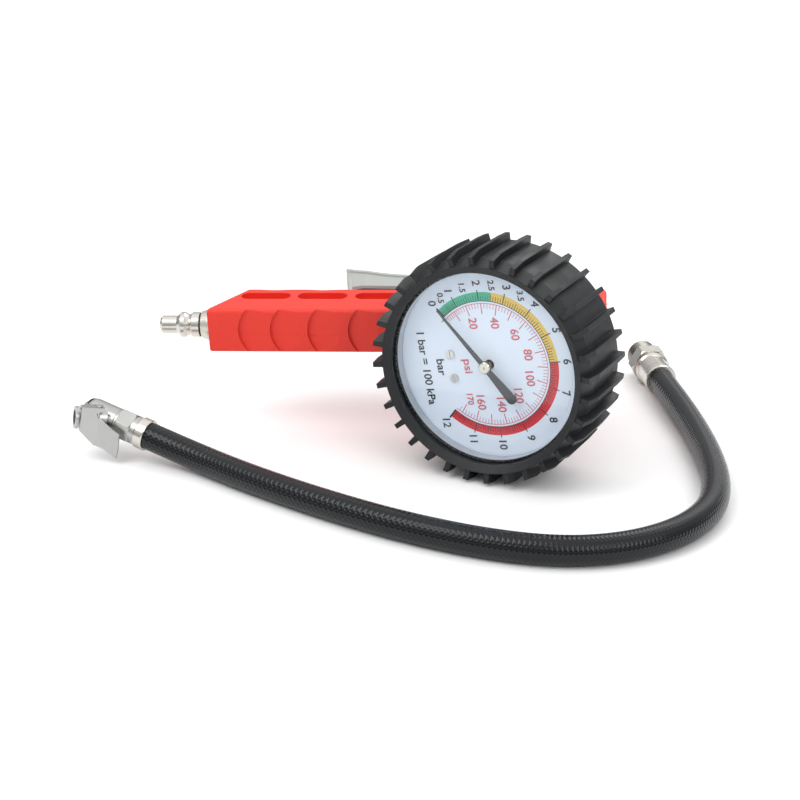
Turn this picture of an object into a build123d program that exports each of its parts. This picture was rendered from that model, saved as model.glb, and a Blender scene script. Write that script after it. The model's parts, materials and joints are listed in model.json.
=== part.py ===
"""Tyre inflator gun with a 100 mm dial gauge, and its loose hose with a clip-on chuck.

Row frame, millimetres: +Z is up and the gauge's rubber boot and the hose stand on z = 0.
The dial faces -Y and the gun's nose points along +X. The gauge, the gun body and the hose
fittings are each drawn in a frame of their own and placed once, when they are saved.
"""
import math
import os

from build123d import *

os.makedirs("parts", exist_ok=True)

# ------------------------------------------------------------------ driving dimensions
# places of the three local frames
ORIGIN_X, ORIGIN_Y = 66.38, -42.61    # moves the gun's box to be centred on the origin
DIAL_HEIGHT = 60.36                   # dial centre above the surface
DIAL_ROLL = 11.44                     # 12 o'clock of the dial, above +X
BODY_BEHIND = 57.0                    # gun's palm face behind the dial, on the gauge axis
BODY_YAW, BODY_PITCH, BODY_ROLL = 21.0, 1.9, 5.0

# gauge, z is 0 on the dial's printed face and grows towards the reader
CASE_R, CASE_BACK, CASE_RIM = 50.3, -30.0, 5.0
CASE_WALL = 1.5
DIAL_R, DIAL_T = 48.6, 0.8
STEM_R, STEM_HOLE_R = 6.8, 6.9
LENS_R, LENS_TOP = 50.2, 8.8
BOOT_IN, BOOT_BACK, BOOT_FRONT = 50.4, -31.5, 13.8
FLOOR_R, RIB_R, RIB_COUNT = 56.2, 60.5, 32
LIP_R = 51.5                          # the ribs start outside this smooth lip
RIB_PHASE = 118.5                     # row angle of one rib below the -X side

# pointer movement
GEAR_MODULE = 0.4
PINION_TEETH, SECTOR_TEETH = 12, 120  # the sector is part of a 120-tooth wheel
SWEEP = 264.0                         # pointer travel, degrees
ZERO_ANGLE = 124.7                    # pointer at rest, left of 12 o'clock
POINTER_LEN, POINTER_TAIL = 37.3, 23.1
POINTER_Z = (5.0, 5.6)
ARBOR_R = 0.8

# gun body, s runs along the gun, t from the palm face to the trigger side
SLEEVE_HALF, SLEEVE_T = 12.6, 30.0
SLEEVE_REAR, SLEEVE_REAR_FAR, SLEEVE_NOSE = -174.5, -155.0, 37.5
PART_LINE = -2.5
ARC_LEN, ARC_DEPTH = 16.0, 1.7        # curved steps of the palm face
CORE_HALF, CORE_NEAR, CORE_FAR = 7.0, 3.2, 24.5
NOSE_HALF = 10.4
AIR_T, AIR_R = 9.0, 3.0
VALVE_S, VALVE_R = -20.0, 5.2
HINGE_S, HINGE_T, HINGE_R = 0.0, 38.0, 2.0
PLUNGER_R = 2.3
OUTLET_T, OUTLET_R, OUTLET_LEN = 15.0, 7.48, 14.0
BUSH_S, BUSH_R = 20.0, 9.4
NIPPLE_TIP = -202.0
TRIGGER_WALL = 2.4
TRIGGER_CURVE = [(-108.8, 73.5), (-97.5, 65.6), (-85.3, 60.0), (-73.8, 56.8), (-50.0, 53.2),
                 (-25.0, 49.8), (-9.0, 46.6)]

# hose, its fittings and its route on the surface
HOSE_R, HOSE_BORE = 7.25, 4.0
HOSE_LIE = 7.3                        # height of the hose axis where it lies
CONNECTOR_H = 10.0                    # height of the threaded end's axis
THREAD_R = 8.33                       # G 3/8
KNUCKLE_R, BARREL_R = 7.35, 6.8       # chuck's back part and its mouth barrel
MOUTH_R, MOUTH_LEN, SEAL_R = 4.05, 4.0, 4.4
CLIP_PIN, CLIP_PIN_R = (8.0, 5.6), 0.9
TAB_TURN = 38.0                       # thumb tab, outward from the clip's side

HOSE_ROUTE = [
    (-164.0, -62.5, 14.0), (-137.6, -62.1, 8.0), (-97.9, -72.5, HOSE_LIE),
    (-51.7, -82.0, HOSE_LIE), (-5.0, -87.9, HOSE_LIE), (37.3, -87.4, HOSE_LIE),
    (72.2, -79.7, HOSE_LIE), (97.6, -62.0, HOSE_LIE), (114.3, -36.0, HOSE_LIE),
    (119.9, -5.6, HOSE_LIE), (113.5, 24.7, HOSE_LIE), (98.7, 58.2, HOSE_LIE),
    (78.1, 93.8, 7.6), (58.2, 123.2, 8.8), (40.9, 146.9, CONNECTOR_H),
]
MOUTH = (-201.0, -76.0, 22.5)         # middle of the chuck's mouth
ELBOW_LEN = 24.0                      # hose end to the chuck's bend


# ------------------------------------------------------------------ frames
def unit(v):
    size = math.sqrt(sum(c * c for c in v))
    return tuple(c / size for c in v)


def cross(a, b):
    return (a[1] * b[2] - a[2] * b[1], a[2] * b[0] - a[0] * b[2], a[0] * b[1] - a[1] * b[0])


def row_point(p, lift=0.0):
    """A point given from the dial's foot, in the row frame."""
    return (p[0] + ORIGIN_X, p[1] + ORIGIN_Y, p[2] + lift)


yaw, pitch, roll = (math.radians(a) for a in (BODY_YAW, BODY_PITCH, BODY_ROLL))
along = (math.cos(yaw) * math.cos(pitch), math.sin(yaw) * math.cos(pitch), math.sin(pitch))
level = (-math.sin(yaw), math.cos(yaw), 0.0)
upright = cross(along, level)
side_up = tuple(math.cos(roll) * upright[i] - math.sin(roll) * level[i] for i in range(3))

tilt = math.radians(DIAL_ROLL)
dial_right = (math.sin(tilt), 0.0, -math.cos(tilt))
GAUGE = Plane(origin=row_point((0, 0, DIAL_HEIGHT)), x_dir=dial_right, z_dir=(0, -1, 0)).location
BODY = Plane(origin=row_point((0, BODY_BEHIND, DIAL_HEIGHT - 0.5)), x_dir=along,
             z_dir=side_up).location
ROW = Location((0, 0, 0))

mouth = row_point(MOUTH)
hose_start, hose_next = row_point(HOSE_ROUTE[0]), row_point(HOSE_ROUTE[1])
hose_end, hose_last = row_point(HOSE_ROUTE[-1]), row_point(HOSE_ROUTE[-2])


def aimed(start, away_from):
    """Frame at start with z away from another point and x level."""
    z = unit(tuple(start[i] - away_from[i] for i in range(3)))
    x = unit(cross((0, 0, 1), z))
    return Plane(origin=start, x_dir=x, z_dir=z).location


FERRULE = aimed(hose_start, hose_next)
CONNECTOR = aimed(hose_end, hose_last)
chuck_aim = unit(tuple(hose_start[i] - hose_next[i] for i in range(3)))
elbow = tuple(hose_start[i] + ELBOW_LEN * chuck_aim[i] for i in range(3))
head_x = unit(tuple(mouth[i] - elbow[i] for i in range(3)))
head_y = unit(cross((0, 0, 1), head_x))
HEAD = Plane(origin=elbow, x_dir=head_x, z_dir=unit(cross(head_x, head_y))).location
HEAD_LEN = math.dist(elbow, mouth)


# ------------------------------------------------------------------ shape helpers
def lathe(points):
    """Solid of revolution about Z from a closed (r, z) outline."""
    face = make_face(Polyline(*[(r, 0, z) for r, z in points], close=True))
    return revolve(face, Axis.Z)


def block(x, y, z):
    """Box from three (low, high) pairs."""
    return Pos(sum(x) / 2, sum(y) / 2, sum(z) / 2) * Box(x[1] - x[0], y[1] - y[0], z[1] - z[0])


def disc(r, low, high, at=(0, 0)):
    return Pos(at[0], at[1], (low + high) / 2) * Cylinder(r, high - low)


def rod_s(r, low, high, t, h=0.0):
    """Rod along s in the body frame."""
    return Pos((low + high) / 2, t, h) * Rot(0, 90, 0) * Cylinder(r, high - low)


def rod_t(r, low, high, s, h=0.0):
    """Rod along t in the body frame."""
    return Pos(s, (low + high) / 2, h) * Rot(90, 0, 0) * Cylinder(r, high - low)


def rod_h(r, low, high, s, t):
    """Rod across the gun in the body frame."""
    return Pos(s, t, (low + high) / 2) * Cylinder(r, high - low)


def plate(points, low, high):
    """Outline in X and Y, raised from low to high."""
    face = make_face(Polyline(*[(x, y, low) for x, y in points], close=True))
    return extrude(face, high - low, dir=(0, 0, 1))


def spin_s(points, t):
    """Solid of revolution about the line at t, from (s, r) points."""
    face = make_face(Polyline(*[(r, 0, s) for s, r in points], close=True))
    return Pos(0, t, 0) * Rot(0, 90, 0) * revolve(face, Axis.Z)


def hexagon(across, low, high):
    return extrude(Pos(0, 0, low) * RegularPolygon(across / 2, 6, major_radius=False), high - low)


def save(name, shape, place):
    export_step(place * shape, f"parts/{name}.step")


# ------------------------------------------------------------------ gears
def involute(angle):
    return math.tan(angle) - angle


def gear_outline(teeth, addendum, dedendum, backlash, which, centre_angle=0.0):
    """Tooth flanks of an involute gear as points, counter-clockwise, for tooth numbers in which."""
    pressure = math.radians(20)
    pitch_r = GEAR_MODULE * teeth / 2
    base_r = pitch_r * math.cos(pressure)
    tip_r = pitch_r + addendum * GEAR_MODULE
    root_r = pitch_r - dedendum * GEAR_MODULE
    half = math.pi / (2 * teeth) - backlash / (2 * pitch_r)
    start_r = max(root_r, base_r)
    radii = [start_r + (tip_r - start_r) * i / 4 for i in range(5)]
    spread = [half + involute(pressure) - involute(math.acos(min(1, base_r / r))) for r in radii]
    points = []
    for tooth in which:
        middle = centre_angle + 2 * math.pi * tooth / teeth
        flank = [(root_r, -spread[0])] if root_r < base_r else []
        flank += [(r, -a) for r, a in zip(radii, spread)]
        flank += [(r, a) for r, a in reversed(list(zip(radii, spread)))]
        flank += [(root_r, spread[0])] if root_r < base_r else []
        points += [(r * math.cos(middle + a), r * math.sin(middle + a)) for r, a in flank]
    return points


# ------------------------------------------------------------------ gauge
SECTOR_Y = -GEAR_MODULE * (PINION_TEETH + SECTOR_TEETH) / 2
SECTOR_R = GEAR_MODULE * SECTOR_TEETH / 2
SECTOR_Z = (-9.4, -7.6)
TAIL_R, TAIL_ANGLE = 8.0, -76.0
TAIL = (TAIL_R * math.cos(math.radians(TAIL_ANGLE)),
        SECTOR_Y + TAIL_R * math.sin(math.radians(TAIL_ANGLE)))
TUBE_TIP_ANGLE, TUBE_ROOT_ANGLE = -20.0, 269.0
TUBE_R = 38.0
TIP = (TUBE_R * math.cos(math.radians(TUBE_TIP_ANGLE)),
       TUBE_R * math.sin(math.radians(TUBE_TIP_ANGLE)))
PLATE_BACK, PLATE_FRONT = (-12.4, -11.4), (-5.8, -4.8)
PILLARS = [(-11.0, -23.0), (11.0, -23.0), (0.0, 8.7)]
DIAL_SCREWS = [(-6.25, -20.55), (6.25, -20.55)]
SCREW_R = 1.1
STOP_PIN = (-24.7, -19.4)


def gauge_case():
    inner = CASE_R - CASE_WALL
    return lathe([(STEM_HOLE_R, CASE_BACK), (CASE_R, CASE_BACK), (CASE_R, CASE_RIM),
                  (inner, CASE_RIM), (inner, -DIAL_T), (inner - 2.4, -DIAL_T),
                  (inner - 2.4, -3.0), (inner, -5.0), (inner, CASE_BACK + 2),
                  (STEM_HOLE_R, CASE_BACK + 2)])


def dial_plate():
    dial = disc(DIAL_R, -DIAL_T, 0) - disc(2.6, -2, 1)
    for at in DIAL_SCREWS:
        dial -= disc(SCREW_R + 0.1, -2, 1, at)
    return dial - disc(0.55, -2, 1, STOP_PIN)


def dial_screws():
    screws = []
    for at in DIAL_SCREWS:
        head = disc(2.1, 0, 1.2, at) - block((at[0] - 2.2, at[0] + 2.2), (at[1] - 0.25, at[1] + 0.25),
                                             (0.7, 1.3))
        screws.append(head + disc(SCREW_R, PLATE_FRONT[0], 0.1, at))
    return Compound(children=screws)


def lens():
    body = lathe([(0, 7.2), (46.9, 7.2), (46.9, 1.2), (48.6, 1.2), (48.6, 5.9), (LENS_R, 5.9),
                  (LENS_R, 8.2), (49.2, 8.2), (48.4, LENS_TOP), (0, LENS_TOP)])
    return body + block((-8.1, 3.1), (-52.0, -49.0), (6.6, 8.2))


def lens_gasket():
    return lathe([(48.9, CASE_RIM), (LENS_R, CASE_RIM), (LENS_R, 5.9), (48.9, 5.9)])


def rubber_boot():
    shell = lathe([(BOOT_IN, CASE_BACK - 0.1), (BOOT_IN, 8.3), (49.9, 8.3), (49.9, 10.4),
                   (53.8, 12.7), (FLOOR_R, 4.0), (FLOOR_R, BOOT_BACK), (34, BOOT_BACK),
                   (34, CASE_BACK - 0.1)])
    envelope = lathe([(BOOT_IN, BOOT_BACK), (BOOT_IN, 8.3), (LIP_R, 8.3), (LIP_R, 11.3),
                      (58.7, BOOT_FRONT), (RIB_R, 4.5), (RIB_R, -22.0), (RIB_R - 0.5, BOOT_BACK)])
    rib = plate([(49, -1.7), (61.5, -1.15), (61.5, 1.15), (49, 1.7)], BOOT_BACK, BOOT_FRONT + 1)
    spokes = []
    for i in range(RIB_COUNT):
        row_angle = -RIB_PHASE + i * 360 / RIB_COUNT
        spokes.append(Rot(0, 0, row_angle - DIAL_ROLL + 90) * rib)
    boot = shell + [spoke & envelope for spoke in spokes]
    boot -= block((-8.6, 3.6), (-52.6, -49.0), (6.4, 8.5))
    return boot


def gauge_stem():
    shank = disc(STEM_R, -52.0, CASE_BACK + 2)
    flange = disc(9.5, CASE_BACK + 2, CASE_BACK + 4)
    socket = block((-7, 7), (-43, 7), (CASE_BACK + 4, -14.5))
    stem = shank + flange + socket - disc(2.0, -53, -18)
    stem -= Pos(0, -19, -20) * Rot(90, 0, 0) * Cylinder(1.6, 40)
    return stem - bourdon_tube()


def bourdon_tube():
    section = Plane.XZ * Pos(TUBE_R, -20) * (RectangleRounded(3.0, 8.0, 1.2)
                                             - RectangleRounded(1.8, 6.8, 0.6))
    ring = revolve(section, Axis.Z, revolution_arc=TUBE_ROOT_ANGLE - TUBE_TIP_ANGLE)
    return Rot(0, 0, TUBE_TIP_ANGLE) * ring


def tube_tip():
    turn = Rot(0, 0, TUBE_TIP_ANGLE)
    cap = turn * block((TUBE_R - 2.4, TUBE_R + 2.4), (-4.0, -0.05), (-24.5, -14.0))
    lug = turn * block((TUBE_R - 5.5, TUBE_R + 1.0), (-3.6, -0.6), (-14.0, -11.0))
    return cap + lug


def movement_plate(z):
    outline = plate([(-14, -35), (14, -35), (14, -21), (6, 11), (-6, 11), (-14, -21)], *z)
    outline -= disc(ARBOR_R + 0.05, z[0] - 1, z[1] + 1)
    outline -= disc(1.05, z[0] - 1, z[1] + 1, (0, SECTOR_Y))
    return outline


def movement_back_plate():
    body = movement_plate(PLATE_BACK)
    return body + block((-6, 6), (-34, 3), (-14.5, PLATE_BACK[0]))


def movement_front_plate():
    front = movement_plate(PLATE_FRONT)
    for at in DIAL_SCREWS:
        front -= disc(SCREW_R + 0.02, PLATE_FRONT[0] - 1, PLATE_FRONT[1] + 1, at)
    return front


def movement_pillars():
    return Compound(children=[disc(1.5, PLATE_BACK[1], PLATE_FRONT[0], at) for at in PILLARS])


def pinion_arbor():
    teeth = gear_outline(PINION_TEETH, 0.9, 1.2, 0.1, range(PINION_TEETH),
                         math.pi / PINION_TEETH + math.pi / 2)
    return plate(teeth, -9.8, -7.2) + disc(ARBOR_R, PLATE_BACK[0], 6.2)


def sector_gear():
    step = 360 / SECTOR_TEETH
    teeth = range(-round((SWEEP / 10 + 4) / step), 2)
    rim = gear_outline(SECTOR_TEETH, 0.8, 1.2, 0.1, teeth, math.radians(90))
    low, high = math.radians(90 + teeth[0] * step), math.radians(90 + teeth[-1] * step)
    fan = plate([(0, 0)] + rim, *SECTOR_Z)
    window = [(18, low + 0.10), (18, high - 0.10), (7.5, high - 0.24), (7.5, low + 0.24)]
    fan -= plate([(r * math.cos(a), r * math.sin(a)) for r, a in window], -10, -7)
    pin = (TAIL[0], TAIL[1] - SECTOR_Y)
    tail = Rot(0, 0, TAIL_ANGLE) * block((0, TAIL_R), (-1.3, 1.3), SECTOR_Z)
    gear = fan + tail + disc(2.4, -9.8, -7.2) + disc(1.7, *SECTOR_Z, pin)
    gear += disc(1.0, PLATE_BACK[0], PLATE_FRONT[1]) + disc(0.6, -10.8, -9.4, pin)
    return Pos(0, SECTOR_Y, 0) * gear


def link():
    dx, dy = TIP[0] - TAIL[0], TIP[1] - TAIL[1]
    size = math.hypot(dx, dy) - 3.0
    bar = block((0, size), (-1.0, 1.0), (-10.6, -9.9)) + disc(1.5, -10.6, -9.9)
    bar += disc(1.5, -10.6, -9.9, (size, 0))
    bar = bar - disc(0.65, -12, -9) - disc(0.6, -12, -9, (size, 0))
    return Pos(*TAIL, 0) * Rot(0, 0, math.degrees(math.atan2(dy, dx))) * bar


def hairspring():
    inner, outer = [], []
    for i in range(24 * 4 + 1):
        angle = 2 * math.pi * i / 24
        r = 1.4 + 5.0 * i / 96
        inner.append(((r - 0.1) * math.cos(angle), (r - 0.1) * math.sin(angle)))
        outer.append(((r + 0.1) * math.cos(angle), (r + 0.1) * math.sin(angle)))
    ribbon = plate(inner + outer[::-1], -6.9, -6.3)
    return ribbon + disc(0.5, -6.9, PLATE_FRONT[0], (6.4, 0))


def pointer():
    needle = [(-1.4, 0), (-1.3, 3), (-0.4, POINTER_LEN), (0.4, POINTER_LEN), (1.3, 3), (1.4, 0),
              (2.7, -POINTER_TAIL + 2.7), (-2.7, -POINTER_TAIL + 2.7)]
    blade = plate(needle, *POINTER_Z) + disc(2.7, *POINTER_Z, (0, -POINTER_TAIL + 2.7))
    blade += disc(3.4, *POINTER_Z)
    return Rot(0, 0, ZERO_ANGLE) * blade - disc(ARBOR_R, 1, 7)


def pointer_hub():
    return lathe([(ARBOR_R, 1.0), (1.6, 1.0), (1.6, 3.0), (2.2, 3.4), (2.2, POINTER_Z[0]),
                  (ARBOR_R, POINTER_Z[0])])


def pointer_cap():
    return lathe([(ARBOR_R, 5.6), (3.1, 5.6), (3.1, 6.2), (2.6, 6.7), (0.6, 6.7), (0.6, 6.4),
                  (ARBOR_R, 6.4)]) - disc(ARBOR_R, 5, 6.4)


def stop_pin():
    return disc(0.55, -2.4, 5.8, STOP_PIN) + disc(1.2, -2.4, -DIAL_T, STOP_PIN)


# ------------------------------------------------------------------ gun body
def arc_cut(s_left, width, depth, reach):
    """Curved step in the palm face: full depth at a bowed wall, running out to nothing."""
    bow = (SLEEVE_HALF ** 2 + 5.5 ** 2) / (2 * 5.5)
    wedge = make_face(Polyline((s_left - 1, -1, 0), (s_left - 1, depth, 0),
                               (s_left + width, 0, 0), (s_left + width, -1, 0), close=True))
    wedge = Pos(0, 0, -reach) * extrude(wedge, 2 * reach, dir=(0, 0, 1))
    return wedge & rod_t(bow, -2, 4, s_left + bow)


def rear_slant(shift):
    """Everything behind the gun's slanted rear end."""
    return plate([(-200, -10), (SLEEVE_REAR + shift, -10), (SLEEVE_REAR + shift, 0),
                  (SLEEVE_REAR_FAR + shift, SLEEVE_T), (SLEEVE_REAR_FAR + shift, 60),
                  (-200, 60)], -20, 20)


def core_block():
    bar = block((-172, BUSH_S), (CORE_NEAR, CORE_FAR), (-CORE_HALF, CORE_HALF))
    bar -= rear_slant(2.5)
    bar += block((-34, BUSH_S), (CORE_NEAR, CORE_FAR), (-NOSE_HALF, NOSE_HALF))
    return bar + spin_s([(-179.3, 0), (-179.3, 7.2), (-175.5, 8.7), (-164, 8.7), (-164, 0)], AIR_T)


def valve_body():
    lugs = block((-6, 6), (CORE_FAR - 4, HINGE_T), (-8, 8)) + rod_h(6, -8, 8, HINGE_S, HINGE_T)
    core = core_block() + lugs
    core -= block((-104, 9), (15.5, 60), (-5.2, 5.2))
    core -= rod_h(HINGE_R, -9, 9, HINGE_S, HINGE_T)
    core -= rod_s(AIR_R, -168, VALVE_S, AIR_T)
    core -= rod_s(6.0, -180, -167.9, AIR_T)
    core -= rod_t(VALVE_R, CORE_NEAR - 1, 11.5, VALVE_S)
    core -= rod_t(3.2, 11.4, 14.2, VALVE_S)
    core -= rod_t(PLUNGER_R + 0.05, 14, 17, VALVE_S)
    core -= rod_s(1.3, VALVE_S, BUSH_S + 1, 13.2)
    core -= GAUGE_IN_BODY * disc(SPIGOT_R, -68.0, -50)
    core -= GAUGE_IN_BODY * disc(2.0, -72, -67)
    return core


def gauge_neck():
    """Round adapter between the gun's core and the gauge's stem."""
    outside_core = BODY_IN_GAUGE * block((-30, 30), (-40, CORE_NEAR), (-30, 30))
    neck = disc(NECK_R, -68.0, CASE_BACK - 2.1) & outside_core
    neck += disc(SPIGOT_R, -68.0, -52.0)
    return neck - disc(STEM_R, -52.0, -30) - disc(2.0, -72, -50)


SHELL_SCREWS = [(-152.0, 26.1), (24.0, 27.0)]
SCREW_END = 7.6
NECK_R, SPIGOT_R = 11.0, 8.0
GAUGE_IN_BODY = BODY.inverse() * GAUGE
BODY_IN_GAUGE = GAUGE.inverse() * BODY


def sleeve():
    outer = block((SLEEVE_REAR, SLEEVE_NOSE), (0, SLEEVE_T), (-SLEEVE_HALF, SLEEVE_HALF))
    long_edges = outer.edges().filter_by(Axis.X)
    outer = fillet(long_edges, 2.4)
    nose_edges = outer.faces().sort_by(Axis.X)[-1].edges()
    outer = fillet(nose_edges, 2.0)
    outer -= rear_slant(0)
    pitch_s, depth = 26.7, 2.7
    bow = ((pitch_s / 2) ** 2 + depth ** 2) / (2 * depth)
    for i in range(2):
        middle = SLEEVE_REAR_FAR + pitch_s * (i + 0.5)
        outer -= rod_h(bow, -20, 20, middle, SLEEVE_T - depth + bow)
    for i, s in enumerate((-145.4, -114.5, -83.3, -52.0)):
        for side in (-1, 1):
            pocket = SlotOverall(27.0, 8.5)
            outer -= Pos(s, 19.2, side * (SLEEVE_HALF - 4.4) if side > 0 else -SLEEVE_HALF) * \
                extrude(pocket, 4.4)
    for s in (-158.2, -140.9, -120.7, -98.8, -77.0, -55.0):
        outer -= arc_cut(s, ARC_LEN, ARC_DEPTH, 20)
    outer -= core_block() + block((-104.5, 9), (15, 40), (-5.6, 5.6))
    outer -= block((-7, 9), (15, 40), (-8.2, 8.2))
    outer -= rod_s(BUSH_R + 0.2, BUSH_S, 40, OUTLET_T)
    outer -= GAUGE_IN_BODY * disc(NECK_R + 0.3, -69, 0)
    outer -= rod_t(5.6, -1, CORE_NEAR, VALVE_S)
    for s, t in SHELL_SCREWS:
        outer -= rod_h(2.6, -SLEEVE_HALF - 1, -SLEEVE_HALF + 2.4, s, t)
        outer -= rod_h(1.5, -SLEEVE_HALF, SCREW_END, s, t)
    return outer


def shell_screws():
    screws = []
    for s, t in SHELL_SCREWS:
        head = rod_h(2.4, -SLEEVE_HALF + 0.3, -SLEEVE_HALF + 2.4, s, t)
        head -= Pos(s, t, -SLEEVE_HALF) * Box(3.2, 0.8, 2.0)
        head -= Pos(s, t, -SLEEVE_HALF) * Box(0.8, 3.2, 2.0)
        screws.append(head + rod_h(1.5, -SLEEVE_HALF + 2.3, SCREW_END, s, t))
    return Compound(children=screws)


def inlet_nipple():
    outline = [(-168.5, 6.0), (-179.4, 6.0), (-180.4, 6.0), (-180.4, 6.75), (-184.4, 6.75),
               (-186.0, 5.6), (-187.2, 5.9), (-188.6, 6.85), (-190.6, 6.85), (-193.0, 4.9),
               (-200.8, 4.9), (-202.0, 3.9), (-202.0, 2.6), (-168.5, 2.6)]
    return spin_s(outline, AIR_T)


def inlet_seal():
    return spin_s([(-180.4, 6.0), (-180.4, 6.4), (-179.3, 6.4), (-179.3, 6.0)], AIR_T)


def valve_cap():
    cap = rod_t(VALVE_R, 1.6, 4.6, VALVE_S)
    return cap - Pos(VALVE_S, 1.4, 0) * Box(6.5, 1.6, 1.2)


def valve_plunger():
    outline = [(0, 7.6), (1.4, 7.6), (1.4, 9.4), (4.3, 9.4), (4.3, 10.9), (PLUNGER_R, 10.9),
               (PLUNGER_R, 27.9), (PLUNGER_R - 0.7, 28.5), (0, 28.5)]
    return Pos(VALVE_S, 0, 0) * Rot(-90, 0, 0) * lathe(outline)


def valve_seal():
    return rod_t(4.3, 10.9, 11.45, VALVE_S) - rod_t(PLUNGER_R, 10, 12, VALVE_S)


def plunger_ring():
    ring = rod_t(PLUNGER_R + 1.1, 15.5, 16.6, VALVE_S) - rod_t(PLUNGER_R + 0.05, 15, 17, VALVE_S)
    return ring


def valve_spring():
    coil = Helix(pitch=1.4, height=4.2, radius=2.6)
    wire = sweep(Plane(origin=coil @ 0, z_dir=coil % 0) * Circle(0.3), path=coil)
    return Pos(VALVE_S, 4.9, 0) * Rot(-90, 0, 0) * wire


def plan_inside(margin):
    """Plan of the lever, seen along t, drawn in by a margin at the sides and the tip."""
    half = [(-110 + margin, 6.5 - margin), (-96, 9.0 - margin), (-70, 10 - margin),
            (-8, 10 - margin)]
    return plate(half + [(s, -h) for s, h in reversed(half)], 0, 80)


def trigger_lever():
    outer = Spline(*[(s, t, 0) for s, t in TRIGGER_CURVE])
    inner = Spline(*[(s, t - TRIGGER_WALL, 0) for s, t in TRIGGER_CURVE])
    profile = Wire([outer, Line(outer @ 1, inner @ 1), inner, Line(inner @ 0, outer @ 0)])
    pad = Pos(0, 0, -10) * extrude(make_face(profile), 20, dir=(0, 0, 1))
    pad &= Rot(90, 0, 0) * plan_inside(0) + Rot(-90, 0, 0) * plan_inside(0)
    below_pad = [(s, t - TRIGGER_WALL / 2) for s, t in TRIGGER_CURVE]
    web = plate(below_pad + [(-9, 31), (-13, 28.8), (-30, 28.8), (-101, 30), (-101.4, 34), (-102.0, 44),
                             (-103.8, 57), (-106.2, 66.5)], -4.5, 4.5)
    hollow = plate([(-98.8, 20), (-98.8, 61), (-92, 57.5), (-80, 52.9), (-50, 48.4), (-27, 45.0),
                    (-27, 20)], -3.1, 3.1)
    walls = plate(below_pad + [(-9, 33.0), (-102.1, 45.5), (-103.8, 57), (-106.2, 66.5)], -20, 20)
    walls &= Rot(90, 0, 0) * plan_inside(0.8) + Rot(-90, 0, 0) * plan_inside(0.8)
    room = plate([(-111, 20), (-111, 80)] + below_pad[1:] + [(-10.5, 20)], -20, 20)
    room &= Rot(90, 0, 0) * plan_inside(2.6) + Rot(-90, 0, 0) * plan_inside(2.6)
    boss = rod_h(6, -4.5, 4.5, HINGE_S, HINGE_T) + plate(
        [(-12, 31), (-2, 32.5), (-2, 43.5), (-12, 46)], -4.5, 4.5)
    lever = pad + (walls - room) + (web - hollow) + boss
    return lever - rod_h(HINGE_R + 0.05, -6, 6, HINGE_S, HINGE_T)


def trigger_pin():
    return rod_h(HINGE_R, -8.1, 8.1, HINGE_S, HINGE_T)


def outlet_bush():
    bush = rod_s(BUSH_R, BUSH_S, 37.9, OUTLET_T)
    bush -= rod_s(OUTLET_R, 37.9 - OUTLET_LEN, 39, OUTLET_T)
    return bush - rod_s(4.0, 19, 39, OUTLET_T)


# ------------------------------------------------------------------ hose and fittings
def hose_path():
    points = [row_point(p) for p in HOSE_ROUTE]
    radii = []
    for a, b, c in zip(points, points[1:], points[2:]):
        run_in, run_out = Vector(*b) - Vector(*a), Vector(*c) - Vector(*b)
        half = math.radians(run_in.get_angle(run_out)) / 2
        radii.append(0.45 * min(run_in.length, run_out.length) / math.tan(half))
    print("hose radii", [round(r) for r in radii])
    return FilletPolyline(*points, radius=radii)


def hose():
    path = hose_path()
    start = Plane(origin=path @ 0, z_dir=path % 0)
    tube = sweep(start * (Circle(HOSE_R) - Circle(HOSE_BORE)), path=path)
    expected = math.pi * (HOSE_R ** 2 - HOSE_BORE ** 2) * path.length
    print("hose length", round(path.length, 1), "volume ratio", round(tube.volume / expected, 4))
    return tube


def hose_connector():
    barb = lathe([(3.0, -14), (3.9, -14), (3.9, 0), (8.2, 0), (8.2, 20), (3.0, 20)])
    nut = hexagon(20.0, 20.0, 29.0) & lathe([(0, 20), (10.6, 20), (11.5, 21), (11.5, 28),
                                            (10.6, 29), (0, 29)])
    groove = lathe([(0, 29), (7.0, 29), (7.0, 31), (0, 31)])
    thread = lathe([(0, 31), (7.6, 31), (THREAD_R, 31.7), (THREAD_R, 41.3), (7.6, 42), (0, 42)])
    return barb + (nut + groove + thread - disc(3.0, 10, 43))


def connector_ferrule():
    return lathe([(8.2, 0), (8.7, 0), (9.0, 1.0), (9.0, 5.5), (8.7, 6.5), (8.7, 17.0),
                  (9.6, 18.2), (9.6, 19.9), (8.2, 19.9)])


def chuck_ferrule():
    return lathe([(7.0, 0), (8.1, 0), (8.4, 0.5), (8.4, 5.0), (8.0, 5.6), (7.0, 5.6)])


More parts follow.
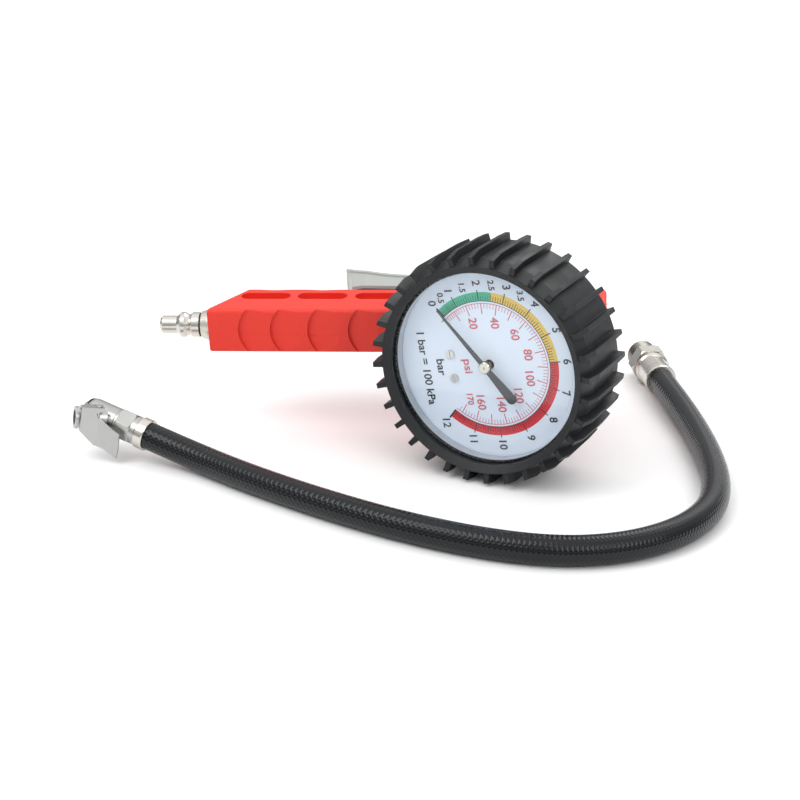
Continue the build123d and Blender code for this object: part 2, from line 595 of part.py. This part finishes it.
def chuck_body():
    tail = lathe([(2.5, -13), (3.9, -13), (3.9, 0), (7.0, 0), (7.0, 5.7), (7.5, 5.7), (7.5, 8.6),
                  (2.5, 8.6)])
    nut = hexagon(15.0, 8.5, 17.6) & lathe([(0, 8.5), (7.8, 8.5), (8.6, 9.3), (8.6, 16.8),
                                           (7.8, 17.6), (0, 17.6)])
    nut = Rot(0, 0, 30) * nut
    knuckle = lathe([(0, 17.6), (7.6, 17.6), (7.6, 18.6), (KNUCKLE_R, 19.2), (KNUCKLE_R, 34.5),
                     (6.4, 37.6), (4.2, 39.8), (0, 39.8)])
    base = FERRULE * (tail + (nut + knuckle - disc(2.5, 8, ELBOW_LEN + 1.5)))
    barrel = spin_s([(0, 0), (0, BARREL_R), (HEAD_LEN - 3, BARREL_R), (HEAD_LEN - 3, 5.0),
                     (HEAD_LEN - 2, 5.0), (HEAD_LEN - 2, 5.9), (HEAD_LEN, 5.9), (HEAD_LEN, 0)], 0)
    mouth_in = HEAD_LEN - MOUTH_LEN
    hollow = [spin_s([(0, 0), (0, 2.2), (8, 2.2), (8, SEAL_R), (mouth_in, SEAL_R),
                      (mouth_in, MOUTH_R), (HEAD_LEN + 1, MOUTH_R), (HEAD_LEN + 1, 0)], 0),
              block((12.5, 15.1), (0, 9), (-3.7, 3.7)),
              Pos(*CLIP_PIN, 0) * Cylinder(CLIP_PIN_R, 30),
              Pos(10.1, -6.8, 8.5) * Rot(0, 0, 41) * Box(7, 1.6, 5)]
    body = base + HEAD * barrel
    for space in hollow:
        body -= HEAD * space
    return body


def chuck_seal():
    return rod_s(SEAL_R - 0.05, 8.0, 10.8, 0) - rod_s(1.6, 0, HEAD_LEN, 0)


def wall_y(points, low, high):
    """Outline in X and Z, from low to high in Y."""
    return Rot(90, 0, 0) * plate(points, -high, -low)


def clip_lever():
    near = wall_y([(17.0, 8.5), (17.3, -4.4), (9.3, -12.0), (7.0, -12.2), (7.0, 2.3), (8.0, 2.8),
                   (9.1, 5.2), (5.6, 7.2), (5.4, 8.5)], 7.2, 8.2)
    tab = wall_y([(0, -12.2), (-4.9, -12.8), (-12.4, -15.9), (-12.9, -11.3), (-12.5, -2.5),
                  (-6.2, -0.3), (0, 2.8)], -1.0, 0)
    tab = Pos(8, 8.2, 0) * Rot(0, 0, -TAB_TURN) * tab
    top = plate([(5.4, 8.2), (17, 8.2), (17, 4.6), (13, 2.2), (5.6, 2.2)], 7.7, 8.5)
    bottom = plate([(6.2, 8.2), (12.6, 8.2), (12.6, 3.0), (6.2, 3.0)], -8.5, -7.7)
    jaw = block((13.2, 14.4), (3.6, 7.4), (-3.2, 3.2))
    return near + tab + top + bottom + jaw - Pos(*CLIP_PIN, 0) * Cylinder(CLIP_PIN_R + 0.05, 30)


def clip_pin():
    pin = disc(CLIP_PIN_R, -9.0, 9.0, CLIP_PIN) + disc(1.7, 8.6, 9.2, CLIP_PIN)
    return pin + disc(1.5, -9.2, -8.6, CLIP_PIN)


def clip_spring():
    coil = Helix(pitch=0.62, height=1.24, radius=1.35)
    wire = sweep(Plane(origin=coil @ 0, z_dir=coil % 0) * Circle(0.22), path=coil)
    return Pos(*CLIP_PIN, 6.0) * wire


SHELL_CUT = 40.0

GAUGE_PARTS = {
    "gauge_case": gauge_case, "dial_plate": dial_plate, "dial_screws": dial_screws,
    "gauge_lens": lens, "lens_gasket": lens_gasket, "rubber_boot": rubber_boot,
    "gauge_stem": gauge_stem, "bourdon_tube": bourdon_tube, "tube_tip": tube_tip,
    "movement_back_plate": movement_back_plate, "movement_front_plate": movement_front_plate,
    "movement_pillars": movement_pillars, "pinion_arbor": pinion_arbor,
    "sector_gear": sector_gear, "tube_link": link, "hairspring": hairspring,
    "pointer": pointer, "pointer_hub": pointer_hub, "pointer_cap": pointer_cap,
    "stop_pin": stop_pin, "gauge_neck": gauge_neck,
}
BODY_PARTS = {
    "valve_body": valve_body, "shell_screws": shell_screws, "inlet_nipple": inlet_nipple,
    "inlet_seal": inlet_seal, "valve_cap": valve_cap, "valve_plunger": valve_plunger,
    "valve_seal": valve_seal, "plunger_ring": plunger_ring, "valve_spring": valve_spring,
    "trigger_lever": trigger_lever, "trigger_pin": trigger_pin, "outlet_bush": outlet_bush,
}
for name, make in GAUGE_PARTS.items():
    save(name, make(), GAUGE)
for name, make in BODY_PARTS.items():
    save(name, make(), BODY)

whole_sleeve = sleeve()
save("grip_shell_upper", whole_sleeve & block((-200, 60), (-20, 60), (PART_LINE, SHELL_CUT)), BODY)
save("grip_shell_lower", whole_sleeve & block((-200, 60), (-20, 60), (-SHELL_CUT, PART_LINE)), BODY)

save("hose", hose(), ROW)
save("hose_connector", hose_connector(), CONNECTOR)
save("connector_ferrule", connector_ferrule(), CONNECTOR)
save("chuck_ferrule", chuck_ferrule(), FERRULE)
save("chuck_body", chuck_body(), ROW)
save("chuck_seal", chuck_seal(), HEAD)
save("clip_lever", clip_lever(), HEAD)
save("clip_pin", clip_pin(), HEAD)
save("clip_spring", clip_spring(), HEAD)
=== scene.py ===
"""Looks for the tyre inflator gun: finishes, dial print, spring, thread, hose, floor, light, camera.

Sizes are in metres in the row frame, and MM turns the millimetres of the design into metres.
"""

import json
import math

import bpy
from mathutils import Matrix, Vector


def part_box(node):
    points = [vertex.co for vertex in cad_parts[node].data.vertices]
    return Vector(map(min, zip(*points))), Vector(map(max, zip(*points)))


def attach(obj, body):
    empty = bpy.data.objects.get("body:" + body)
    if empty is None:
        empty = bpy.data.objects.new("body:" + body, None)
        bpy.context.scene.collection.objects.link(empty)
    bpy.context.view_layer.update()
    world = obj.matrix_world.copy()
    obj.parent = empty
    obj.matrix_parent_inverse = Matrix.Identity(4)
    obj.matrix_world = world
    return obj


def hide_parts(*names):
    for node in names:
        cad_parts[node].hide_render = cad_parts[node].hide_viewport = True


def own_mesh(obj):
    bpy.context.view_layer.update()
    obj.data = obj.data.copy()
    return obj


MM = 0.001
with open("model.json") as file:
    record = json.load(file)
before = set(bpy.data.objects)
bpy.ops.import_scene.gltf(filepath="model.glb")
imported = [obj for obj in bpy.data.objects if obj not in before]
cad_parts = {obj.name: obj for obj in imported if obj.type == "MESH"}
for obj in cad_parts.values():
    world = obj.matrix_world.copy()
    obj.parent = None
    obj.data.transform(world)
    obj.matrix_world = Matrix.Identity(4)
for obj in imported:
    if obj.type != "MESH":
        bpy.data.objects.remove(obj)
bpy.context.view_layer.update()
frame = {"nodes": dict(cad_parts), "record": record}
nodes = frame["nodes"]
mounts = {mount["name"]: mount for mount in frame["record"]["mounts"]}

# ------------------------------------------------------------------ places from the frame
dial_low, dial_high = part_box("dial_plate")
DIAL = Vector(((dial_low.x + dial_high.x) / 2, dial_low.y, (dial_low.z + dial_high.z) / 2))
DIAL_ROLL = math.radians(11.44)       # tilt of the dial's 12 o'clock line from the x axis
DIAL_RIGHT = Vector((math.sin(DIAL_ROLL), 0, -math.cos(DIAL_ROLL)))
DIAL_UP = Vector((math.cos(DIAL_ROLL), 0, math.sin(DIAL_ROLL)))
TO_READER = Vector((0, -1, 0))
DIAL_AXES = Matrix((DIAL_RIGHT, DIAL_UP, TO_READER)).transposed()
DIAL_FRAME = Matrix.Translation(DIAL) @ DIAL_AXES.to_4x4()


# ------------------------------------------------------------------ building blocks
def linked(name, data):
    """New object in the scene."""
    piece = bpy.data.objects.new(name, data)
    bpy.context.scene.collection.objects.link(piece)
    return piece


def new_mesh(name, vertices, faces, material):
    mesh = bpy.data.meshes.new(name)
    mesh.from_pydata(vertices, [], faces)
    mesh.materials.append(material)
    return mesh


def copied(node, name):
    """Copy of a CAD piece in the row frame, to be changed and shown in its place."""
    mesh = nodes[node].data.copy()
    mesh.transform(nodes[node].matrix_world)
    return linked(name, mesh)


def new_material(name):
    material = bpy.data.materials.new(name)
    material.use_nodes = True
    return material, material.node_tree, material.node_tree.nodes["Principled BSDF"]


def calculate(tree, operation, *values):
    """Result of a maths node whose inputs are numbers or the results of other nodes."""
    node = tree.nodes.new("ShaderNodeMath")
    node.operation = operation
    for entry, value in zip(node.inputs, values):
        if isinstance(value, bpy.types.NodeSocket):
            tree.links.new(value, entry)
        else:
            entry.default_value = value
    return node.outputs["Value"]


def noise(tree, place, size, detail):
    """Soft random pattern. A larger size number makes it finer."""
    cloud = tree.nodes.new("ShaderNodeTexNoise")
    cloud.inputs["Scale"].default_value = size
    cloud.inputs["Detail"].default_value = detail
    tree.links.new(place, cloud.inputs["Vector"])
    return cloud.outputs["Fac"]


def bumped(tree, height, strength, depth, normal=None):
    """Normal direction of a bumpy surface, laid over another normal where one is given."""
    bump = tree.nodes.new("ShaderNodeBump")
    bump.inputs["Strength"].default_value = strength
    bump.inputs["Distance"].default_value = depth
    tree.links.new(height, bump.inputs["Height"])
    if normal:
        tree.links.new(normal, bump.inputs["Normal"])
    return bump.outputs["Normal"]


# ------------------------------------------------------------------ finishes
GRAIN_DEPTH = 0.0004
GRAIN_DETAIL = 3.0
CLOUD_SIZE = 60.0
CLOUD_DETAIL = 4.0
CLOUD_LOW, CLOUD_HIGH = 0.35, 0.65    # span of the cloud pattern that shades the gloss
FACE_ON_GLOSS = 0.02                  # share of light a clear cover reflects seen square on
BRAID_STARTS = 12                     # strands each way round the hose
BRAID_TURNS = 16                      # turns of one strand over the hose's length
BRAID_DEPTH = 0.0003


def surface(name, colour, rough, metal=0.0, grain=0.0, grain_size=900.0, edge=0.0, mottle=0.0):
    """Principled finish. grain is a fine bump, edge rounds the corners, mottle varies the gloss."""
    material, tree, shader = new_material(name)
    shader.inputs["Base Color"].default_value = (*colour, 1)
    shader.inputs["Roughness"].default_value = rough
    shader.inputs["Metallic"].default_value = metal
    place = tree.nodes.new("ShaderNodeTexCoord").outputs["Object"]
    normal = None
    if edge:
        rounded = tree.nodes.new("ShaderNodeBevel")
        rounded.samples = 4
        rounded.inputs["Radius"].default_value = edge
        normal = rounded.outputs["Normal"]
    if grain:
        normal = bumped(tree, noise(tree, place, grain_size, GRAIN_DETAIL), grain, GRAIN_DEPTH, normal)
    if normal:
        tree.links.new(normal, shader.inputs["Normal"])
    if mottle:
        gloss = tree.nodes.new("ShaderNodeMapRange")
        gloss.inputs["From Min"].default_value = CLOUD_LOW
        gloss.inputs["From Max"].default_value = CLOUD_HIGH
        gloss.inputs["To Min"].default_value = max(0.02, rough - mottle)
        gloss.inputs["To Max"].default_value = min(1.0, rough + mottle)
        tree.links.new(noise(tree, place, CLOUD_SIZE, CLOUD_DETAIL), gloss.inputs["Value"])
        tree.links.new(gloss.outputs["Result"], shader.inputs["Roughness"])
    return material


def clear_plastic(name):
    """Thin clear cover that reflects more towards grazing angles and lets the rest straight through."""
    material, tree, shader = new_material(name)
    shader.inputs["Base Color"].default_value = (1.0, 1.0, 1.0, 1)
    shader.inputs["Metallic"].default_value = 1.0
    shader.inputs["Roughness"].default_value = 0.02
    tilt = tree.nodes.new("ShaderNodeLayerWeight")
    tilt.inputs["Blend"].default_value = 0.5
    grazing = calculate(tree, "POWER", tilt.outputs["Facing"], 5.0)
    share = calculate(tree, "MULTIPLY_ADD", grazing, 1.0 - FACE_ON_GLOSS, FACE_ON_GLOSS)
    tree.links.new(share, shader.inputs["Alpha"])
    return material


def braided_rubber(name):
    """Glossy black hose with a faint diamond pattern of buried braid."""
    material, tree, shader = new_material(name)
    shader.inputs["Base Color"].default_value = (0.0025, 0.004, 0.0055, 1)
    shader.inputs["Roughness"].default_value = 0.16
    shader.inputs["Specular IOR Level"].default_value = 0.32
    uv = tree.nodes.new("ShaderNodeTexCoord")
    split = tree.nodes.new("ShaderNodeSeparateXYZ")
    tree.links.new(uv.outputs["UV"], split.inputs["Vector"])
    waves = []
    for sign in (1.0, -1.0):
        across = calculate(tree, "MULTIPLY", split.outputs["Y"], sign * BRAID_STARTS)
        travel = calculate(tree, "MULTIPLY_ADD", split.outputs["X"], BRAID_TURNS * BRAID_STARTS, across)
        waves.append(calculate(tree, "SINE", calculate(tree, "MULTIPLY", travel, 2 * math.pi)))
    strands = calculate(tree, "MAXIMUM", *waves)
    tree.links.new(bumped(tree, strands, 0.3, BRAID_DEPTH), shader.inputs["Normal"])
    return material


FINISHES = {
    "black_rubber": surface("boot_rubber", (0.005, 0.0065, 0.0078), 0.5, grain=0.25, edge=0.0005,
                            mottle=0.06),
    "red_rubber": surface("red_grip", (0.75, 0.030, 0.014), 0.55, grain=0.3, grain_size=1500,
                          edge=0.0005),
    "hose_rubber": braided_rubber("hose_braid"),
    "seal_rubber": surface("seal_rubber", (0.015, 0.015, 0.016), 0.6),
    "lever_paint": surface("lever_paint", (0.43, 0.45, 0.43), 0.38, metal=0.25, grain=0.15,
                           edge=0.0004),
    "cast_alloy": surface("cast_alloy", (0.62, 0.59, 0.52), 0.36, metal=0.9, grain=0.2,
                          edge=0.0003),
    "nickel": surface("nickel", (0.60, 0.58, 0.53), 0.22, metal=1.0, grain=0.05, edge=0.0002,
                      mottle=0.05),
    "steel": surface("steel", (0.60, 0.60, 0.59), 0.28, metal=1.0, edge=0.0001),
    "brass": surface("brass", (0.72, 0.53, 0.25), 0.30, metal=1.0),
    "case_paint": surface("case_enamel", (0.62, 0.66, 0.70), 0.3, metal=0.6),
    "dial_face": surface("dial_white", (0.71, 0.81, 0.93), 0.55),
    "pointer_paint": surface("pointer_paint", (0.055, 0.062, 0.07), 0.5),
    "clear": clear_plastic("clear_lens"),
}
for entry in frame["record"]["subparts"]:
    node = nodes[entry["node"]]
    node.data.materials.clear()
    node.data.materials.append(FINISHES[entry["material_slot"]])

# the chuck's body and clip are duller than the rest of the plated parts
for name in ("clip_lever", "chuck_body"):
    nodes[name].data.materials[0] = surface("zinc_" + name, (0.44, 0.445, 0.43), 0.33, metal=1.0,
                                            edge=0.0002, mottle=0.05)


# ------------------------------------------------------------------ dial print, in dial millimetres
PRINT_BLACK = surface("print_black", (0.022, 0.024, 0.03), 0.55)
PRINT_RED = surface("print_red", (0.60, 0.13, 0.17), 0.55)
BAND_GREEN = surface("band_green", (0.05, 0.46, 0.28), 0.55)
BAND_YELLOW = surface("band_yellow", (0.72, 0.52, 0.10), 0.55)
BAND_RED = surface("band_red", (0.62, 0.028, 0.045), 0.55)
LAYER = 0.05                          # print thickness steps, above the plate
ZERO_MARK = 128.5                     # where the scale starts, degrees left of 12 o'clock
FIRST_BAR, EACH_BAR = 16.0, 22.5      # degrees for the first bar and for each later one
FULL_SCALE = 12                       # bar
GREEN_END, YELLOW_END = 2.5, 6        # bar
PSI_PER_BAR = 14.5038
BAND_LOW, BAND_HIGH = 33.1, 37.5      # radii of the colour band
SCALE_LINE = 0.35                     # width of the line along each scale
BAR_WHOLE, BAR_HALF, BAR_TENTH = 38.7, 36.4, 35.6     # outer ends of the bar marks
WHOLE_WIDTH, HALF_WIDTH, TENTH_WIDTH = 0.5, 0.34, 0.28
END_WIDTH = 0.9                       # of the marks at 0 and at full scale
WHOLE_START = 0.2                     # whole marks start this far inside the band
PSI_LINE, PSI_TEN, PSI_TWO = 31.5, 26.2, 29.1         # radii of the psi line and its marks' ends
PSI_TEN_WIDTH, PSI_TWO_WIDTH = 0.5, 0.3
PSI_LAST = 172
BAR_LABEL_R, HALF_LABEL_R = 42.2, 41.2
PSI_LABEL_R, PSI_FAR_LABEL_R, PSI_LAST_LABEL_R = 22.2, 21.0, 22.5
PSI_FAR_FROM = 110                    # labels above this sit further in
PSI_SQUEEZE = 0.95                    # width factor of the psi numbers
WEIGHT = 0.1                          # thickening of the letters' strokes
CAPITAL = 0.70                        # height of a capital for a font size of 1
LETTER_FLAT = 0.05                    # flattens the thickened strokes onto the plate


def bar_angle(bar):
    """Angle left of 12 o'clock in degrees. The first bar is squeezed, the others are even."""
    return ZERO_MARK - FIRST_BAR * bar if bar < 1 else ZERO_MARK - FIRST_BAR - EACH_BAR * (bar - 1)


def psi_angle(psi):
    return bar_angle(psi / PSI_PER_BAR)


def dial_point(radius, angle):
    turn = math.radians(angle)
    return Vector((-radius * math.sin(turn), radius * math.cos(turn)))


def print_mesh(name, quads, material, level):
    """Flat print made of 4-point patches given in dial millimetres."""
    vertices, faces = [], []
    for quad in quads:
        faces.append(tuple(range(len(vertices), len(vertices) + 4)))
        vertices += [DIAL_FRAME @ (Vector((p.x, p.y, level * LAYER)) * MM) for p in quad]
    piece = linked(name, new_mesh(name, vertices, faces, material))
    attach(piece, "gun")


def arc(low, high, start, end, step=1.5):
    """Patches of a ring between two angles, clockwise from start to end."""
    count = max(1, round((start - end) / step))
    angles = [start + (end - start) * i / count for i in range(count + 1)]
    return [(dial_point(low, b), dial_point(low, a), dial_point(high, a), dial_point(high, b))
            for a, b in zip(angles, angles[1:])]


def tick(low, high, angle, width):
    """One mark of even width."""
    inner, outer = dial_point(low, angle), dial_point(high, angle)
    side = Vector((outer.y - inner.y, inner.x - outer.x)).normalized() * width / 2
    return (inner - side, inner + side, outer + side, outer - side)


def colour_band(name, start, end, material):
    print_mesh(name, arc(BAND_LOW, BAND_HIGH, bar_angle(start), bar_angle(end)), material, 1)


colour_band("band_green", 0, GREEN_END, BAND_GREEN)
colour_band("band_yellow", GREEN_END, YELLOW_END, BAND_YELLOW)
colour_band("band_red", YELLOW_END, FULL_SCALE, BAND_RED)

bar_marks = arc(BAND_LOW - SCALE_LINE, BAND_LOW, bar_angle(0), bar_angle(FULL_SCALE))
for tenth in range(0, 10 * FULL_SCALE + 1):
    angle = bar_angle(tenth / 10)
    if tenth % 10 == 0:
        width = END_WIDTH if tenth in (0, 10 * FULL_SCALE) else WHOLE_WIDTH
        bar_marks.append(tick(BAND_LOW - WHOLE_START, BAR_WHOLE, angle, width))
    elif tenth % 5 == 0:
        bar_marks.append(tick(BAND_LOW, BAR_HALF, angle, HALF_WIDTH))
    else:
        bar_marks.append(tick(BAND_LOW, BAR_TENTH, angle, TENTH_WIDTH))
print_mesh("bar_marks", bar_marks, PRINT_BLACK, 2)

psi_marks = arc(PSI_LINE, PSI_LINE + SCALE_LINE, bar_angle(0), bar_angle(FULL_SCALE))
for psi in range(2, PSI_LAST + 1, 2):
    inner_end, width = (PSI_TEN, PSI_TEN_WIDTH) if psi % 10 == 0 else (PSI_TWO, PSI_TWO_WIDTH)
    psi_marks.append(tick(inner_end, PSI_LINE, psi_angle(psi), width))
print_mesh("psi_marks", psi_marks, PRINT_RED, 1)


def words(name, labels, material):
    """Printed text as one mesh. labels are (text, x, y, capital height, width factor)."""
    letters = []
    for text, x, y, height, squeeze in labels:
        curve = bpy.data.curves.new(name, "FONT")
        curve.body = text
        curve.align_x, curve.align_y = "CENTER", "CENTER"
        curve.size = height / CAPITAL * MM
        curve.resolution_u = 3
        curve.bevel_depth = WEIGHT * MM
        curve.bevel_resolution = 0
        letter = linked(name, curve)
        letter.matrix_world = (DIAL_FRAME @ Matrix.Translation(Vector((x, y, 3 * LAYER)) * MM)
                               @ Matrix.Diagonal((squeeze, 1, LETTER_FLAT, 1)))
        letters.append(letter)
    bpy.context.view_layer.update()
    depsgraph = bpy.context.evaluated_depsgraph_get()
    vertices, faces = [], []
    for letter in letters:
        flat = letter.evaluated_get(depsgraph).to_mesh()
        first = len(vertices)
        vertices += [letter.matrix_world @ v.co for v in flat.vertices]
        faces += [[first + i for i in polygon.vertices] for polygon in flat.polygons]
    for letter in letters:
        bpy.data.objects.remove(letter)
    piece = linked(name, new_mesh(name, vertices, faces, material))
    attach(piece, "gun")


def around(text, radius, angle, height, squeeze=1.0):
    """Label centred on a point of a circle round the dial's middle."""
    spot = dial_point(radius, angle)
    return (text, spot.x, spot.y, height, squeeze)


bar_words = [around(str(bar), BAR_LABEL_R, bar_angle(bar), 4.2) for bar in range(FULL_SCALE + 1)]
bar_words += [around(f"{bar:g}", HALF_LABEL_R, bar_angle(bar), 3.2) for bar in (0.5, 1.5, 2.5, 3.5)]
bar_words += [("bar", 0.3, -27.4, 4.4, 1.06), ("1 bar = 100 kPa", 0.4, -36.0, 4.3, 1.0)]
words("bar_words", bar_words, PRINT_BLACK)
psi_words = [around(str(psi), PSI_LABEL_R if psi < PSI_FAR_FROM else PSI_FAR_LABEL_R, psi_angle(psi),
                    4.4, PSI_SQUEEZE)
             for psi in range(20, 161, 20)]
psi_words += [around("170", PSI_LAST_LABEL_R, psi_angle(170), 3.3, PSI_SQUEEZE),
              ("psi", 0.5, -12.2, 4.3, 1.18)]
words("psi_words", psi_words, PRINT_RED)


# ------------------------------------------------------------------ valve spring
coil = copied("valve_spring", "spring_skin")
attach(coil, "gun")
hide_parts("valve_spring")
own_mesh(coil)


# ------------------------------------------------------------------ connector thread
thread = mounts["hose_thread"]
THREAD_MIDDLE = Vector(thread["pos_m"])
THREAD_AXIS = Vector(thread["axis"]).normalized()
THREAD_LENGTH = thread["dims"]["length_mm"] * MM
THREAD_CREST = thread["dims"]["r_mm"] * MM
THREAD_ROOT = 7.55 * MM
THREAD_CHAMFER = 0.5 * MM             # the thread's turned-down length past each end
THREAD_PITCH = 1.337 * MM
THREAD_STEPS = 48                     # facets in one turn
RIDGE_FOOT, RIDGE_TOP = 0.42, 0.08    # half widths of the ridge, in pitches
RIDGE_SUNK = 0.1 * MM                 # how far the ridge's foot goes into the root
RIDGE_CORNERS = 4

turned = copied("hose_connector", "connector_skin")
for vertex in turned.data.vertices:
    along = (vertex.co - THREAD_MIDDLE).dot(THREAD_AXIS)
    spoke = vertex.co - THREAD_MIDDLE - THREAD_AXIS * along
    if abs(along) < THREAD_LENGTH / 2 + THREAD_CHAMFER and spoke.length > THREAD_ROOT:
        vertex.co += spoke.normalized() * (THREAD_ROOT - spoke.length)
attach(turned, "hose_set")
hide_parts("hose_connector")

side = THREAD_AXIS.orthogonal().normalized()
other = THREAD_AXIS.cross(side)
ridge_points, ridge_faces = [], []
for step in range(round(THREAD_LENGTH / THREAD_PITCH * THREAD_STEPS) + 1):
    angle = 2 * math.pi * step / THREAD_STEPS
    along = -THREAD_LENGTH / 2 + THREAD_PITCH * step / THREAD_STEPS
    spoke = side * math.cos(angle) + other * math.sin(angle)
    for reach, shift in ((THREAD_ROOT - RIDGE_SUNK, -RIDGE_FOOT), (THREAD_CREST, -RIDGE_TOP),
                         (THREAD_CREST, RIDGE_TOP), (THREAD_ROOT - RIDGE_SUNK, RIDGE_FOOT)):
        height = along + shift * THREAD_PITCH
        ridge_points.append(THREAD_MIDDLE + THREAD_AXIS * height + spoke * reach)
    if step:
        new = RIDGE_CORNERS * step
        old = new - RIDGE_CORNERS
        for k in range(RIDGE_CORNERS):
            after = (k + 1) % RIDGE_CORNERS
            ridge_faces.append((old + k, old + after, new + after, new + k))
ridge_faces.append(tuple(reversed(range(RIDGE_CORNERS))))
ridge_faces.append(tuple(range(len(ridge_points) - RIDGE_CORNERS, len(ridge_points))))
oiled = surface("thread_oiled", (0.30, 0.29, 0.26), 0.25, metal=1.0)
ridge = linked("thread_ridge", new_mesh("thread_ridge", ridge_points, ridge_faces, oiled))
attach(ridge, "hose_set")


# ------------------------------------------------------------------ hose
HOSE_DIAMETER = 14.5 * MM
HOSE_LIE = 7.3                        # height of the hose's middle where it lies on the floor
HOSE_FROM_DIAL = [
    (-164.0, -62.5, 14.0), (-137.6, -62.1, 8.0), (-97.9, -72.5, HOSE_LIE),
    (-51.7, -82.0, HOSE_LIE), (-5.0, -87.9, HOSE_LIE), (37.3, -87.4, HOSE_LIE),
    (72.2, -79.7, HOSE_LIE), (97.6, -62.0, HOSE_LIE), (114.3, -36.0, HOSE_LIE),
    (119.9, -5.6, HOSE_LIE), (113.5, 24.7, HOSE_LIE), (98.7, 58.2, HOSE_LIE),
    (78.1, 93.8, 7.6), (58.2, 123.2, 8.8), (40.9, 146.9, 10.0),
]                                     # x and y from the dial's middle, z above the floor
hose_points = [Vector((DIAL.x + x * MM, DIAL.y + y * MM, z * MM)) for x, y, z in HOSE_FROM_DIAL]
line = bpy.data.curves.new("hose_skin", "CURVE")
line.dimensions = "3D"
line.bevel_depth = HOSE_DIAMETER / 2
line.bevel_resolution = 10
line.resolution_u = 24
line.use_fill_caps = True
spline = line.splines.new("NURBS")
spline.points.add(len(hose_points) - 1)
for target, point in zip(spline.points, hose_points):
    target.co = (*point, 1)
spline.order_u = 3
spline.use_endpoint_u = True
line.materials.append(FINISHES["hose_rubber"])
hose = linked("hose_skin", line)
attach(hose, "hose_set")
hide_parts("hose")


# ------------------------------------------------------------------ floor
FLOOR_REACH = 6                       # metres from the middle to each side
corners = [(x * FLOOR_REACH, y * FLOOR_REACH, 0) for x, y in ((-1, -1), (1, -1), (1, 1), (-1, 1))]
floor_white = surface("floor_white", (0.93, 0.93, 0.93), 0.7)
floor = linked("floor", new_mesh("floor", corners, [(0, 1, 2, 3)], floor_white))


# ------------------------------------------------------------------ light
SKY_LOW = (0.22, 0.22, 0.23, 1)
SKY_MIDDLE = (0.48, 0.48, 0.49, 1)
SKY_MIDDLE_AT, SKY_WHITE_AT = 0.35, 0.85
world = bpy.data.worlds.new("studio")
bpy.context.scene.world = world
world.use_nodes = True
sky = world.node_tree.nodes
direction = sky.new("ShaderNodeTexCoord")
split_up = sky.new("ShaderNodeSeparateXYZ")
world.node_tree.links.new(direction.outputs["Generated"], split_up.inputs["Vector"])
shade = sky.new("ShaderNodeValToRGB")
world.node_tree.links.new(split_up.outputs["Z"], shade.inputs["Fac"])
shade.color_ramp.elements[0].color = SKY_LOW
shade.color_ramp.elements[1].position = SKY_WHITE_AT
shade.color_ramp.elements.new(SKY_MIDDLE_AT).color = SKY_MIDDLE
world.node_tree.links.new(shade.outputs["Color"], sky["Background"].inputs["Color"])
sky["Background"].inputs["Strength"].default_value = 1.3
bpy.context.scene.view_settings.view_transform = "Standard"


def softbox(name, place, size, power):
    """Square studio light aimed at the row frame's middle."""
    lamp = bpy.data.lights.new(name, "AREA")
    lamp.shape = "SQUARE"
    lamp.size = size
    lamp.energy = power
    box = linked(name, lamp)
    box.location = place
    box.rotation_euler = (-Vector(place)).to_track_quat("-Z", "Y").to_euler()


softbox("key", (-0.6, -0.9, 1.3), 0.9, 9)
softbox("fill", (1.2, -0.7, 0.9), 0.8, 5)
softbox("back", (0.1, 1.3, 1.2), 1.0, 6)


# ------------------------------------------------------------------ camera
CAMERA_FROM_DIAL = Vector((345.9, -771.1, 306.3)) * MM
CAMERA_RIGHT = (0.8895, 0.4568, 0.0)
CAMERA_UP = (-0.1643, 0.3199, 0.9331)
CAMERA_BACK = (0.4263, -0.8300, 0.3596)
camera_data = bpy.data.cameras.new("camera")
camera_data.lens = 81
camera_data.sensor_width = 36
camera = linked("camera", camera_data)
camera_axes = Matrix((CAMERA_RIGHT, CAMERA_UP, CAMERA_BACK)).transposed()
camera.matrix_world = Matrix.Translation(DIAL + CAMERA_FROM_DIAL) @ camera_axes.to_4x4()
bpy.context.scene.camera = camera

bpy.context.view_layer.update()
